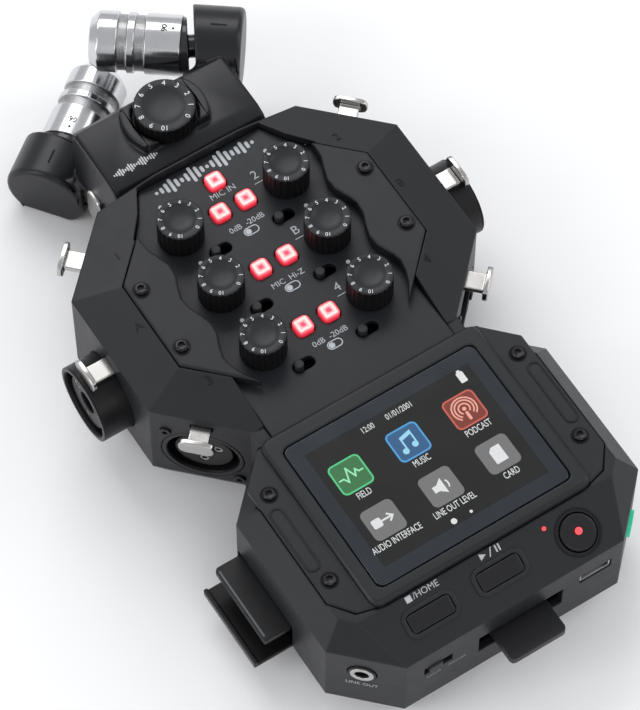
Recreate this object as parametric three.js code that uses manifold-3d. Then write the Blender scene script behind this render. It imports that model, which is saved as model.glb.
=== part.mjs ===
// Handheld multitrack audio recorder with a crossed-pair microphone capsule.
// Units are millimetres. +Z is up, +Y runs from the transport keys to the microphones,
// +X is the right-hand side seen from the keys. The origin is on the base plane,
// under the waist between the two decks.
import * as THREE from 'three';
import { mergeVertices } from 'three/addons/utils/BufferGeometryUtils.js';
import Module from 'manifold-3d';

const wasm = await Module();
wasm.setup();

// ---------------------------------------------------------------- driving sizes
const GAP = 0.3; // clearance left between neighbouring pieces
const WALL = 2.2; // moulded shell thickness
const SPLIT_Z = 7; // height of the parting line between the two shells
const UPPER = { half: 49.8, front: -0.6, rear: 76, cutF: 19.3, cutR: 19.3, edgeZ: 39.3, topZ: 42.9 };
const LOWER = { half: 46.8, front: -73.7, rear: -5.2, cutF: 14.4, cutR: 12.8, edgeZ: 34.1, topZ: 41.2 };
const FOOT = { z: 9.6, inset: 4.5 }; // inward chamfer round the bottom
const UPPER_SLOPE = 12.6; // how far in the upper shoulder reaches its full height
const LOWER_SLOPE = { side: 5.5, corner: 6, front: 13.9 };
const PANEL_Z = 39.8; // control panel face
const GUARD_Z = 43.4; // knob guard face
const FRAME_Z = 43.2; // rim round the screen
const WING_Z = 41.4; // screw wings of the display frame
const KNOB = { r: 6.15, top: 48.6, x: 16.1, rows: [57.8, 37.95, 17.85] };
const KEY = { size: 5, round: 1.3, x: 3.9, rise: 0.4, top: 41.1 };
const SWITCH = { x: 9.6, drop: 9.0, slot: 6.4, width: 3.4, peg: 1.25, top: 41.7, throw: 1.45 };
const GLASS = { w: 57, h: 45, round: 2, y: -33, top: 43.1, thick: 1.4 };
const SOCKET = { z: 21.5, r: 10.8, depth: 12.6, ring: 9.6, core: 7.7, bore: 3.25 };
const COMBO_OUT = 8.4; // how far the two combination sockets stand out of the side walls
const CAPSULE = { half: 23.3, front: 76.4, rear: 102.2, base: 7, top: 38 };
const MIC = { x: 19.93, y: 113.12, zRight: 29, zLeft: 8.75, aim: 53, r: 8.3, length: 26.5, ear: 11.5 };
const STUB = 3.2; // radius of the stub a microphone turns on
const JOINT_LEAN = 7.5; // angle between a microphone tube and the axis it turns about
const DIAL = { y: 92.1, r: 8.25, top: 44 };
const CARD = { y0: -43, y1: -19, z: 17, t: 2.1, out: 7.6, length: 32 };
const CELL = { r: 7.1, length: 50, z: 9.4, y: -64.3, pitch: 14.5 };
const DEG = Math.PI / 180;

// ---------------------------------------------------------------- solid helpers
function solid(geometry) {
  const bare = geometry.clone();
  bare.deleteAttribute('normal');
  bare.deleteAttribute('uv');
  const merged = mergeVertices(bare, 1e-4);
  const source = merged.index.array;
  const kept = [];
  for (let i = 0; i < source.length; i += 3) {
    const [a, b, c] = [source[i], source[i + 1], source[i + 2]];
    if (a !== b && b !== c && c !== a) kept.push(a, b, c);
  }
  return new wasm.Manifold(new wasm.Mesh({
    numProp: 3,
    vertProperties: new Float32Array(merged.attributes.position.array),
    triVerts: new Uint32Array(kept),
  }));
}

function surface(body) {
  const mesh = body.getMesh();
  const geometry = new THREE.BufferGeometry();
  geometry.setAttribute('position', new THREE.BufferAttribute(new Float32Array(mesh.vertProperties), 3));
  geometry.setIndex(new THREE.BufferAttribute(new Uint32Array(mesh.triVerts), 1));
  geometry.computeVertexNormals();
  return geometry;
}

const join = (first, ...rest) => rest.reduce((sum, item) => sum.add(item), first);
const cut = (first, ...rest) => rest.reduce((sum, item) => sum.subtract(item), first);

// Turns a geometry drawn along +Z so that it points along dir and starts at origin.
function aimed(geometry, origin, dir) {
  const turn = new THREE.Quaternion().setFromUnitVectors(new THREE.Vector3(0, 0, 1), dir.clone().normalize());
  geometry.applyQuaternion(turn);
  geometry.translate(origin.x, origin.y, origin.z);
  return geometry;
}

function block(x0, x1, y0, y1, z0, z1) {
  const geometry = new THREE.BoxGeometry(x1 - x0, y1 - y0, z1 - z0);
  geometry.translate((x0 + x1) / 2, (y0 + y1) / 2, (z0 + z1) / 2);
  return solid(geometry);
}

function prismGeometry(points, z0, z1, bevel = 0) {
  const shape = new THREE.Shape(points.map(([x, y]) => new THREE.Vector2(x, y)));
  const geometry = new THREE.ExtrudeGeometry(shape, {
    depth: z1 - z0 - 2 * bevel,
    bevelEnabled: bevel > 0,
    bevelThickness: bevel,
    bevelSize: bevel,
    bevelOffset: -bevel,
    bevelSegments: 1,
    curveSegments: 4,
  });
  geometry.translate(0, 0, z0 + bevel);
  return geometry;
}

const prism = (points, z0, z1, bevel = 0) => solid(prismGeometry(points, z0, z1, bevel));

// A turned piece: profile is a list of [radius, height], from the axis round to the axis.
function turnedGeometry(profile, sides = 24) {
  const geometry = new THREE.LatheGeometry(profile.map(([r, h]) => new THREE.Vector2(r, h)), sides);
  geometry.rotateX(Math.PI / 2);
  return geometry;
}

const turned = (profile, x, y, sides) => solid(turnedGeometry(profile, sides).translate(x, y, 0));

function rod(radius, origin, dir, length, sides = 24) {
  const geometry = new THREE.CylinderGeometry(radius, radius, length, sides);
  geometry.rotateX(Math.PI / 2);
  geometry.translate(0, 0, length / 2);
  return solid(aimed(geometry, origin, dir));
}

// Removes everything on the outer side of a plane.
function shave(body, point, normal) {
  const slab = new THREE.BoxGeometry(400, 400, 200);
  slab.translate(0, 0, 100);
  return body.subtract(solid(aimed(slab, point, normal)));
}

const vec = (x, y, z) => new THREE.Vector3(x, y, z);

function roundedRect(w, h, r, cx = 0, cy = 0, steps = 3) {
  const points = [];
  const corners = [[1, -1, -90], [1, 1, 0], [-1, 1, 90], [-1, -1, 180]];
  for (const [sx, sy, start] of corners) {
    for (let i = 0; i <= steps; i += 1) {
      const a = (start + (90 * i) / steps) * DEG;
      points.push([cx + sx * (w / 2 - r) + r * Math.cos(a), cy + sy * (h / 2 - r) + r * Math.sin(a)]);
    }
  }
  return points;
}

const mirrored = (points) => points.map(([x, y]) => [-x, y]).reverse();

// ---------------------------------------------------------------- the two decks
// Octagonal outline of a deck, anticlockwise, drawn in from its edge by inset.
function deckOutline(deck, inset) {
  const shrink = inset * (2 - Math.SQRT2);
  const h = deck.half - inset;
  const f = deck.front + inset;
  const r = deck.rear - inset;
  const cf = deck.cutF - shrink;
  const cr = deck.cutR - shrink;
  return [
    [h - cf, f], [h, f + cf], [h, r - cr], [h - cr, r],
    [-(h - cr), r], [-h, r - cr], [-h, f + cf], [-(h - cf), f],
  ];
}

// Slopes each edge of a prism: the edge stays at height z and is drawn in over rise.
function sloped(body, outline, z, rise, insets) {
  let result = body;
  outline.forEach(([x, y], i) => {
    if (!insets[i]) return;
    const [nx, ny] = outline[(i + 1) % outline.length];
    const run = Math.hypot(nx - x, ny - y);
    const out = vec((ny - y) / run, (x - nx) / run, 0);
    const normal = out.multiplyScalar(Math.abs(rise)).add(vec(0, 0, Math.sign(rise) * insets[i]));
    result = shave(result, vec(x, y, z), normal.normalize());
  });
  return result;
}

function deckBody(deck, inset, slopes) {
  const outline = deckOutline(deck, inset);
  const top = deck.topZ - inset;
  const raised = prism(outline, inset ? 2 : 0, top);
  const shouldered = sloped(raised, outline, deck.edgeZ - inset, deck.topZ - deck.edgeZ, slopes);
  return sloped(shouldered, outline, FOOT.z, -FOOT.z, Array(8).fill(FOOT.inset));
}

function hull(inset) {
  const u = UPPER_SLOPE;
  const { side, corner, front } = LOWER_SLOPE;
  const upper = deckBody(UPPER, inset, [u, u, u, 0, u, u, u, 0]);
  const lower = deckBody(LOWER, inset, [corner, side, corner, 0, corner, side, corner, front]);
  const waist = block(-31 + inset, 31 - inset, -9, 4, inset ? 2 : 0, UPPER.edgeZ - inset);
  return join(upper, lower, waist);
}

// Centre, outward direction and kind of each microphone input, round the upper deck.
const WALL_MID = (UPPER.half * 2 - UPPER.cutF) / 2;
const INPUTS = [
  { name: '1', x: -WALL_MID, y: UPPER.rear - UPPER.cutR / 2, out: vec(-1, 1, 0), combo: false },
  { name: 'a', x: -UPPER.half, y: 38, out: vec(-1, 0, 0), combo: true },
  { name: '3', x: -WALL_MID, y: UPPER.front + UPPER.cutF / 2, out: vec(-1, -1, 0), combo: false },
  { name: '2', x: WALL_MID, y: UPPER.rear - UPPER.cutR / 2, out: vec(1, 1, 0), combo: false },
  { name: 'b', x: UPPER.half, y: 38, out: vec(1, 0, 0), combo: true },
  { name: '4', x: WALL_MID, y: UPPER.front + UPPER.cutF / 2, out: vec(1, -1, 0), combo: false },
];
INPUTS.forEach((input) => input.out.normalize());
const inputPoint = (input, along, z = SOCKET.z) => vec(
  input.x + input.out.x * along,
  input.y + input.out.y * along,
  z,
);

// A box lying along an input's outward direction, from a to b, half as wide as half.
function inputBox(input, a, b, half, z0, z1) {
  const { x: ox, y: oy } = input.out;
  const corner = (along, side) => [
    input.x + ox * along - oy * side,
    input.y + oy * along + ox * side,
  ];
  return prism([corner(a, -half), corner(b, -half), corner(b, half), corner(a, half)], z0, z1);
}

// Latch tabs: how far the head stands off the wall and the height of the stem's underside.
const LATCH = { stem: 2.7, thick: 1.7, head: 4.7, inner: -6, plate: 1.4 };
const latchReach = (input) => (input.combo ? 6.2 : 5.0);
const latchLow = (input) => (input.combo ? 32.75 : 35);

// ---------------------------------------------------------------- front slope
const FRONT_TILT = Math.atan((LOWER.topZ - LOWER.edgeZ) / LOWER_SLOPE.front);
const frontNormal = vec(0, -Math.sin(FRONT_TILT), Math.cos(FRONT_TILT));
const frontHeight = (y) => LOWER.edgeZ + (y - LOWER.front) * Math.tan(FRONT_TILT);
const STOP = [-20.4, -66.2];
const PLAY = [0.2, -66];
const REC = [22.9, -67];

// A key shape laid on the front slope, from below to above its surface.
function slopePrism(points, [x, y], below, above, bevel = 0) {
  const geometry = prismGeometry(points, -below, above, bevel);
  geometry.rotateX(FRONT_TILT);
  geometry.translate(x, y, frontHeight(y));
  return solid(geometry);
}

const disc = (r, n = 24) => Array.from({ length: n }, (_, i) => [
  r * Math.cos((2 * Math.PI * i) / n),
  r * Math.sin((2 * Math.PI * i) / n),
]);

// ---------------------------------------------------------------- outlines on the upper deck
const panelOutline = (grow) => {
  const right = [[27.4 + grow, -4.6 - grow], [27.4 + grow, 62.2], [22.4 + grow, 68.4], [18.4 + grow, 75.2 + grow]];
  return [...right, ...mirrored(right)];
};

// Inner edge of the right guard: a shallow wave that swells out beside every knob.
function guardWave(shift) {
  const points = [];
  for (let y = 13; y <= 60.6; y += 3.4) {
    points.push([25.2 + 1.4 * Math.cos((2 * Math.PI * (y - KNOB.rows[0] - 1.5)) / 20) + shift, y]);
  }
  return points;
}

const guardOutline = (grow) => {
  const wave = guardWave(-grow).reverse();
  const g = grow * 1.2;
  return [
    [22 - grow, 8.6 - g], [37.2 + grow, 23.9 - g / 2], [37.2 + grow, 51.5 + g / 2], [26.4 + grow, 62.3 + g / 2],
    ...wave,
  ];
};

const frameRim = roundedRect(65.2, 54.0, 2.5, 0, -32.4, 2);
const frameWings = (grow) => {
  const right = [
    [29 + grow / 2, -59.4 - grow], [36.6 + grow, -57.4 - grow], [41.2 + grow, -51.5],
    [41.2 + grow, -14.5], [33 + grow, -6 + grow],
  ];
  return [...right, ...mirrored(right)];
};

// ---------------------------------------------------------------- scene list
const object = new THREE.Group();
object.name = 'field_recorder';

const LOOKS = {
  shell: [0x3f4044, 0.62, 0],
  dark: [0x2b2c30, 0.6, 0],
  frame: [0x35383f, 0.4, 0],
  screen: [0x0b0c0e, 0.12, 0],
  knob: [0x1d1d1f, 0.55, 0],
  key: [0xff6a6a, 0.35, 0],
  nickel: [0xc9c8c4, 0.28, 0.9],
  steel: [0xb9bbbd, 0.3, 0.9],
  board: [0x1f4a35, 0.6, 0.1],
  cell: [0x3a5f8f, 0.4, 0.3],
  brass: [0xb5904a, 0.35, 0.9],
  card: [0x242528, 0.5, 0],
};

function add(name, look, body) {
  const [color, roughness, metalness] = LOOKS[look];
  const mesh = new THREE.Mesh(surface(body), new THREE.MeshStandardMaterial({ color, roughness, metalness }));
  mesh.name = name;
  object.add(mesh);
}

// ---------------------------------------------------------------- shells
const outer = hull(0);
const inner = hull(WALL);
const TRIPOD = { x: 0, y: 24, r: 5, bore: 2.95 };
const DOOR = { half: 31, y0: -66.6, y1: -11, thick: 1.7 };

function lowerShell() {
  const below = block(-80, 80, -90, 100, -1, SPLIT_Z);
  const tray = cut(outer, inner).intersect(below);
  const boss = rod(8, vec(TRIPOD.x, TRIPOD.y, 1), vec(0, 0, 1), SPLIT_Z - 1);
  const doorway = block(-DOOR.half - GAP, DOOR.half + GAP, DOOR.y0 - GAP, DOOR.y1 + GAP, -1, 4);
  const socket = rod(TRIPOD.r + GAP, vec(TRIPOD.x, TRIPOD.y, -1), vec(0, 0, 1), SPLIT_Z + 2);
  return cut(join(tray, boss), doorway, socket);
}
add('lower_shell', 'shell', lowerShell());

const NECK = { half: 20, rear: 89.6, z0: 12, z1: 31.6 };
const ADAPTER = { x0: -6.4, x1: 10.2, out: 8.7, z0: 20.8, z1: 23.6, inside: -64 };
const POWER = { x: -22.7, z: 25, w: 8.4, h: 3.4 };
const USB = { x: 24.4, z: 25.4 };
const LINE_OUT = { x: -40.2, y: -65.9, z: 26 };
const PHONES = { x: 40.2, y: -65.9, z: 22 };

function upperShell() {
  const above = block(-80, 80, -90, 100, SPLIT_Z + GAP, 60);
  let shell = cut(outer, inner).intersect(above);
  shell = join(shell, block(-NECK.half, NECK.half, UPPER.rear - 2, NECK.rear, NECK.z0, NECK.z1));
  // floor under the display frame and the pocket it drops into
  const deckFloor = prism(frameWings(1.2), 36.6, 38.9);
  shell = join(shell, deckFloor.intersect(outer));
  shell = cut(shell, prism(frameWings(GAP), 38.9, 60), block(-32.9, 32.9, -58, -5.1, 38.9, 60));
  // opening for the control panel, pockets for the guards over it
  shell = cut(shell, prism(panelOutline(GAP), PANEL_Z - 2.3, 60));
  const pocket = prism(guardOutline(GAP), PANEL_Z, 60);
  const pocketLeft = prism(mirrored(guardOutline(GAP)), PANEL_Z, 60);
  shell = cut(shell, pocket, pocketLeft);
  // microphone inputs and their latch slots
  for (const input of INPUTS) {
    shell = cut(shell, rod(SOCKET.r + GAP, inputPoint(input, -24), input.out, 40));
    const low = input.combo ? SOCKET.z + 7 : latchLow(input) - GAP;
    shell = cut(shell, inputBox(input, -7, 4, LATCH.stem + GAP, low, latchLow(input) + LATCH.thick + GAP));
  }
  // transport keys on the front slope
  shell = cut(shell, slopePrism(roundedRect(13.1, 5.6, 1), STOP, 9, 5));
  shell = cut(shell, slopePrism(roundedRect(13.1, 5.6, 1), PLAY, 9, 5));
  shell = cut(shell, slopePrism(disc(5.2), REC, 9, 5));
  // front wall: power slider, adapter bay, USB
  const { x, z, w, h } = POWER;
  shell = cut(shell, block(x - w / 2, x + w / 2, -75, -68, z - h / 2, z + h / 2));
  shell = cut(shell, block(ADAPTER.x0 - 4.2, ADAPTER.x1 + 4.4, -75, -68, ADAPTER.z0 - 2.6, ADAPTER.z1 + 2.4));
  shell = cut(shell, block(USB.x - 4.8, USB.x + 4.8, -75, -68, USB.z - 1.9, USB.z + 1.9));
  // front corners: line output and headphones
  shell = cut(shell, rod(3.9, vec(LINE_OUT.x + 5, LINE_OUT.y + 5, LINE_OUT.z), vec(-1, -1, 0), 16));
  shell = cut(shell, rod(3.9, vec(PHONES.x - 5, PHONES.y + 5, PHONES.z), vec(1, -1, 0), 16));
  // card slot in the left wall
  shell = cut(shell, block(-50, -40, CARD.y0 - 0.9, CARD.y1 + 0.5, 7.6, 20.6));
  return shell;
}
add('upper_shell', 'shell', upperShell());

add('battery_door', 'dark', block(-DOOR.half, DOOR.half, DOOR.y0, DOOR.y1, 0, DOOR.thick));

// Four cells lie side by side in the lower deck, positive ends alternating.
for (let i = 0; i < 4; i += 1) {
  const x = (i - 1.5) * CELL.pitch;
  const flip = i % 2;
  const profile = [[0, 0], [CELL.r, 0], [CELL.r, CELL.length - 1], [2.7, CELL.length - 1], [2.7, CELL.length], [0, CELL.length]];
  const start = vec(x, flip ? CELL.y + CELL.length : CELL.y, CELL.z);
  const geometry = aimed(turnedGeometry(profile, 16), start, vec(0, flip ? -1 : 1, 0));
  add(`battery_cell_${i + 1}`, 'cell', solid(geometry));
}

const nutProfile = [[TRIPOD.bore, 0.3], [TRIPOD.r, 0.3], [TRIPOD.r, 7], [TRIPOD.bore, 7], [TRIPOD.bore, 0.3]];
add('tripod_nut', 'brass', turned(nutProfile, TRIPOD.x, TRIPOD.y, 24));

const speakerProfile = [[0, 2.4], [9, 2.4], [9, 4.6], [6, 6.6], [0, 6.6]];
add('speaker', 'dark', turned(speakerProfile, 0, 52, 24));

const boardRight = [[36, -54], [36, -14], [26, -6], [25, 4], [30, 14], [34, 26], [34, 50], [20, 62]];
add('main_board', 'board', prism([...boardRight, ...mirrored(boardRight)], 33.1, 34.7));

// ---------------------------------------------------------------- control panel and guards
function controlPanel() {
  let panel = prism(panelOutline(0), PANEL_Z - 2, PANEL_Z);
  for (const y of KNOB.rows) {
    for (const side of [-1, 1]) {
      panel = cut(panel, rod(3.3, vec(side * KNOB.x, y, 30), vec(0, 0, 1), 12, 16));
      panel = cut(panel, prism(roundedRect(5.6, 5.6, 1.4, side * KEY.x, y + KEY.rise, 2), 30, 50));
      const slot = roundedRect(SWITCH.slot, SWITCH.width, 1.69, side * SWITCH.x, y - SWITCH.drop, 4);
      panel = cut(panel, prism(slot, 30, 50));
    }
  }
  panel = cut(panel, prism(roundedRect(5.6, 5.6, 1.4, 0, 67.1, 2), 30, 50));
  return panel;
}
add('control_panel', 'frame', controlPanel());

const guard = (points) => prism(points, PANEL_Z + GAP, GUARD_Z);
add('left_knob_guard', 'frame', guard(mirrored(guardOutline(0))));
add('right_knob_guard', 'frame', guard(guardOutline(0)));

// ---------------------------------------------------------------- display
function displayFrame() {
  const base = prism(frameWings(0), 39.2, WING_Z);
  const rim = prism(frameRim, 39.6, FRAME_Z, 0.8);
  const pocket = prism(roundedRect(GLASS.w + 0.6, GLASS.h + 0.6, GLASS.round, 0, GLASS.y), 41.4, 60);
  return cut(join(base, rim), pocket);
}
add('display_frame', 'frame', displayFrame());
const glassOutline = roundedRect(GLASS.w, GLASS.h, GLASS.round, 0, GLASS.y);
add('touch_glass', 'screen', prism(glassOutline, GLASS.top - GLASS.thick, GLASS.top));

// ---------------------------------------------------------------- knobs, keys, switches
const KNOB_NAMES = [['1', '2'], ['a', 'b'], ['3', '4']];
KNOB.rows.forEach((y, row) => {
  [-1, 1].forEach((side, column) => {
    const name = KNOB_NAMES[row][column];
    const { r, top } = KNOB;
    const profile = [
      [0, 36.4], [2.9, 36.4], [2.9, PANEL_Z + GAP], [r, PANEL_Z + GAP],
      [r, top - 0.6], [r - 0.5, top], [r - 1.3, top], [0, top - 0.8],
    ];
    add(`gain_knob_${name}`, 'knob', turned(profile, side * KNOB.x, y, 20));
    const keyShape = roundedRect(KEY.size, KEY.size, KEY.round, side * KEY.x, y + KEY.rise, 2);
    add(`track_key_${name}`, 'key', prism(keyShape, 36.6, KEY.top));
    const peg = vec(side * SWITCH.x - SWITCH.throw, y - SWITCH.drop, 36.6);
    add(`pad_switch_${name}`, 'knob', rod(SWITCH.peg, peg, vec(0, 0, 1), SWITCH.top - 36.6, 12));
  });
});
add('track_key_mic', 'key', prism(roundedRect(KEY.size, KEY.size, KEY.round, 0, 67.1, 2), 36.6, KEY.top));

add('stop_key', 'knob', slopePrism(roundedRect(12.5, 5, 0.8), STOP, 3.4, 0.5));
add('play_key', 'knob', slopePrism(roundedRect(12.5, 5, 0.8), PLAY, 3.4, 0.5));
add('rec_key', 'knob', slopePrism(disc(4.85), REC, 3.4, 0.6));

// ---------------------------------------------------------------- inputs and their latches
function inputSocket(input) {
  const start = input.combo ? -14 : -SOCKET.depth;
  const end = input.combo ? COMBO_OUT : -0.4;
  let socket = rod(SOCKET.r, inputPoint(input, start), input.out, end - start, 28);
  const ring = rod(SOCKET.ring, inputPoint(input, end - 10), input.out, 12, 28);
  const core = rod(SOCKET.core, inputPoint(input, end - 12), input.out, 11.2, 20);
  socket = cut(socket, cut(ring, core));
  const pinCircle = input.combo ? 5.4 : 4.1;
  const side = vec(-input.out.y, input.out.x, 0);
  for (const angle of [25, 155, 270]) {
    const shift = side.clone().multiplyScalar(pinCircle * Math.cos(angle * DEG));
    shift.z = pinCircle * Math.sin(angle * DEG);
    const mouth = inputPoint(input, end - 9).add(shift);
    socket = cut(socket, rod(1.3, mouth, input.out, 12, 10));
  }
  if (input.combo) socket = cut(socket, rod(SOCKET.bore, inputPoint(input, end - 17), input.out, 20, 20));
  return socket;
}

function latchTab(input) {
  const reach = latchReach(input);
  const low = latchLow(input);
  const stem = inputBox(input, LATCH.inner, reach + 0.5, LATCH.stem, low, low + LATCH.thick);
  const foot = input.combo ? low : low - 1.4;
  const height = 5;
  const outline = roundedRect(2 * LATCH.head, height, 1.8, 0, 0, 2);
  const turn = new THREE.Matrix4().makeBasis(vec(-input.out.y, input.out.x, 0), vec(0, 0, 1), input.out);
  const plate = prismGeometry(outline, reach, reach + LATCH.plate).applyMatrix4(turn);
  plate.translate(input.x, input.y, foot + height / 2);
  return join(stem, solid(plate));
}

for (const input of INPUTS) {
  const kind = input.combo ? 'combo_socket' : 'xlr_socket';
  add(`${kind}_${input.name}`, 'dark', inputSocket(input));
  add(`latch_tab_${input.name}`, 'nickel', latchTab(input));
}

// ---------------------------------------------------------------- front and corner fittings
function powerSlider() {
  const { x, z } = POWER;
  const plate = block(x - 2.9, x + 1.1, -74.2, -71.2, z - 1.3, z + 1.3);
  return join(plate, block(x - 2.4, x + 0.6, -72, -69.2, z - 1.1, z + 1.1));
}
add('power_slider', 'knob', powerSlider());

function usbPort() {
  const can = block(USB.x - 4.5, USB.x + 4.5, -73.4, -66, USB.z - 1.6, USB.z + 1.6);
  const mouth = block(USB.x - 4.1, USB.x + 4.1, -74, -68, USB.z - 1.2, USB.z + 1.2);
  return join(cut(can, mouth), block(USB.x - 3.1, USB.x + 3.1, -72.6, -67, USB.z - 0.35, USB.z + 0.35));
}
add('usb_port', 'steel', usbPort());

function jack(place, dir) {
  const back = vec(place.x, place.y, place.z).addScaledVector(dir, -11);
  const inside = vec(place.x, place.y, place.z).addScaledVector(dir, -10);
  return cut(rod(3.6, back, dir, 11.4, 20), rod(1.8, inside, dir, 12, 16));
}
const leftCorner = vec(-1, -1, 0).normalize();
const rightCorner = vec(1, -1, 0).normalize();
add('line_out_jack', 'nickel', jack(LINE_OUT, leftCorner));
add('phone_jack', 'nickel', jack(PHONES, rightCorner));

const { x0: ax0, x1: ax1, z0: az0, z1: az1 } = ADAPTER;
function wirelessAdapter() {
  const length = ADAPTER.out - LOWER.front + ADAPTER.inside;
  const outline = roundedRect(ax1 - ax0, length, 1.2, (ax0 + ax1) / 2, ADAPTER.inside - length / 2, 2);
  return prism(outline, az0, az1);
}
add('wireless_adapter', 'card', wirelessAdapter());

// ---------------------------------------------------------------- memory card and its cover
function sdCard() {
  const x0 = -LOWER.half - CARD.out;
  const x1 = x0 + CARD.length;
  const outline = [
    [x0, CARD.y0], [x1 - 4, CARD.y0], [x1, CARD.y0 + 4], [x1, CARD.y1], [x0 + 0.8, CARD.y1], [x0, CARD.y1 - 0.8],
  ];
  return prism(outline, CARD.z, CARD.z + CARD.t);
}
add('sd_card', 'card', sdCard());

// Tray-shaped flap hinged along the bottom of the card slot, drawn open.
const COVER = { x: -46.4, z: 9.4, length: 11.4, thick: 1.5, y0: CARD.y0 - 0.5, y1: CARD.y1 + 0.1 };
function sdCover() {
  const { x, z, length, thick, y0, y1 } = COVER;
  const plate = block(x - length, x, y0, y1, z - thick, z);
  const lip = block(x - length, x - length + 1.2, y0, y1, z - 0.1, z + 1.2);
  const knuckle = rod(thick / 2, vec(x, y0, z - thick / 2), vec(0, 1, 0), y1 - y0, 16);
  return join(plate, lip, knuckle);
}
add('sd_cover', 'dark', sdCover());

// ---------------------------------------------------------------- microphone capsule
const sides = { right: 1, left: -1 };
const micPoint = (side) => vec(side * MIC.x, MIC.y, side > 0 ? MIC.zRight : MIC.zLeft);
const heading = (side, degrees) => vec(-side * Math.sin(degrees * DEG), Math.cos(degrees * DEG), 0);

function ear(side) {
  const back = micPoint(side).addScaledVector(heading(side, MIC.aim), -14.8);
  const profile = [[0, 0], [MIC.ear - 0.9, 0], [MIC.ear, 0.9], [MIC.ear, 18], [0, 18]];
  const body = solid(aimed(turnedGeometry(profile, 28), back, heading(side, MIC.aim)));
  const lean = heading(side, MIC.aim + JOINT_LEAN);
  return shave(body, micPoint(side).addScaledVector(lean, -1.7), lean);
}

// Hole in an ear for the stub the microphone turns on.
function stubHole(side) {
  const lean = heading(side, MIC.aim + JOINT_LEAN);
  return rod(STUB + GAP, micPoint(side).addScaledVector(lean, -7.3), lean, 8, 20);
}

function dialGuards() {
  const outerDisc = rod(11.8, vec(0, DIAL.y, CAPSULE.top - 1), vec(0, 0, 1), 3.9, 40);
  const innerDisc = rod(9, vec(0, DIAL.y, CAPSULE.top - 2), vec(0, 0, 1), 8, 40);
  const band = block(-20, 20, DIAL.y - 7, DIAL.y + 7, CAPSULE.top - 1, 50);
  return cut(outerDisc, innerDisc).intersect(band);
}

function capsuleBody() {
  const { half, front, rear, base, top } = CAPSULE;
  const profile = [
    [front + 1.5, base], [rear - 1.5, base], [rear, base + 1.5], [rear, top - 2], [rear - 2, top],
    [83, top], [79.8, top - 1], [77.6, top - 3.4], [front, top - 7.4], [front, base + 1.5],
  ];
  const geometry = prismGeometry(profile, -half, half, 0.8);
  // the side profile is drawn in (Y, Z) and swept along X
  const swing = new THREE.Matrix4().set(0, 0, 1, 0, 1, 0, 0, 0, 0, 1, 0, 0, 0, 0, 0, 1);
  let body = solid(geometry.applyMatrix4(swing));
  const rightArm = block(12, 25, 96, 103.4, 19, 35);
  const leftArm = block(-25.5, -12, 96, 103.4, base, 17);
  body = join(body, ear(sides.right), ear(sides.left), rightArm, leftArm);
  body = cut(body, block(-60, 60, 60, 140, -10, 0.5));
  body = cut(body, block(-NECK.half - 0.4, NECK.half + 0.4, 70, NECK.rear + 0.6, NECK.z0 - 0.4, NECK.z1 + 0.4));
  body = join(body, dialGuards());
  body = cut(body, stubHole(sides.right), stubHole(sides.left));
  return cut(body, rod(3.4, vec(0, DIAL.y, 34.4), vec(0, 0, 1), 10, 20));
}
add('capsule_body', 'shell', capsuleBody());

const dialProfile = [
  [0, 35], [3, 35], [3, CAPSULE.top + GAP], [DIAL.r, CAPSULE.top + GAP],
  [DIAL.r, DIAL.top - 0.7], [DIAL.r - 0.6, DIAL.top], [DIAL.r - 2.4, DIAL.top], [0, DIAL.top - 0.9],
];
add('capsule_dial', 'knob', turned(dialProfile, 0, DIAL.y, 28));

function microphone(side) {
  const { r, length } = MIC;
  const groove = r - 0.7;
  const profile = [
    [0, -6], [r - 0.5, -6], [r - 0.5, 1.7], [r, 1.7], [r, 11.4], [groove, 11.4], [groove, 14.2], [r, 14.2],
    [r, 16.3], [groove, 16.3], [groove, 18.9], [r, 18.9], [r, length - 2.4], [r - 2.2, length], [0, length],
  ];
  const tube = solid(aimed(turnedGeometry(profile, 24), micPoint(side), heading(side, MIC.aim)));
  const lean = heading(side, MIC.aim + JOINT_LEAN);
  const trimmed = shave(tube, micPoint(side).addScaledVector(lean, 0.1), lean.clone().negate());
  return join(trimmed, rod(STUB, micPoint(side).addScaledVector(lean, -6.8), lean, 8, 20));
}
add('mic_left', 'nickel', microphone(sides.left));
add('mic_right', 'nickel', microphone(sides.right));

export default object;
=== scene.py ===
"""Looks of a portable field recorder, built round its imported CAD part."""
import math

import bmesh
import bpy
from mathutils import Matrix, Vector


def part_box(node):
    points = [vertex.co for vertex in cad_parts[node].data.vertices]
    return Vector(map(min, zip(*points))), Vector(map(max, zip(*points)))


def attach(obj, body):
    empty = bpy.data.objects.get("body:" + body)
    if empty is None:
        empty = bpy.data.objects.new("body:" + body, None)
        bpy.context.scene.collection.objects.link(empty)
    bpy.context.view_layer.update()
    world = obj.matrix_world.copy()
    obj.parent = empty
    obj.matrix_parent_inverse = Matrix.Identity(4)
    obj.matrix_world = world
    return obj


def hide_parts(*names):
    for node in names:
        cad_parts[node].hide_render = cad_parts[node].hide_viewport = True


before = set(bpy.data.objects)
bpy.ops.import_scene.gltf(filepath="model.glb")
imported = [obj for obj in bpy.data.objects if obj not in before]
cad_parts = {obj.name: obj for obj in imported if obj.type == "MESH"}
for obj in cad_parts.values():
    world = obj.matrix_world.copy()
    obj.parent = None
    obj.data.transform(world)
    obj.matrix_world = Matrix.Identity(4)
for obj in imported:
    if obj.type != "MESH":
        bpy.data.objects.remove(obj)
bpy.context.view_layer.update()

MM = 0.001


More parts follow.
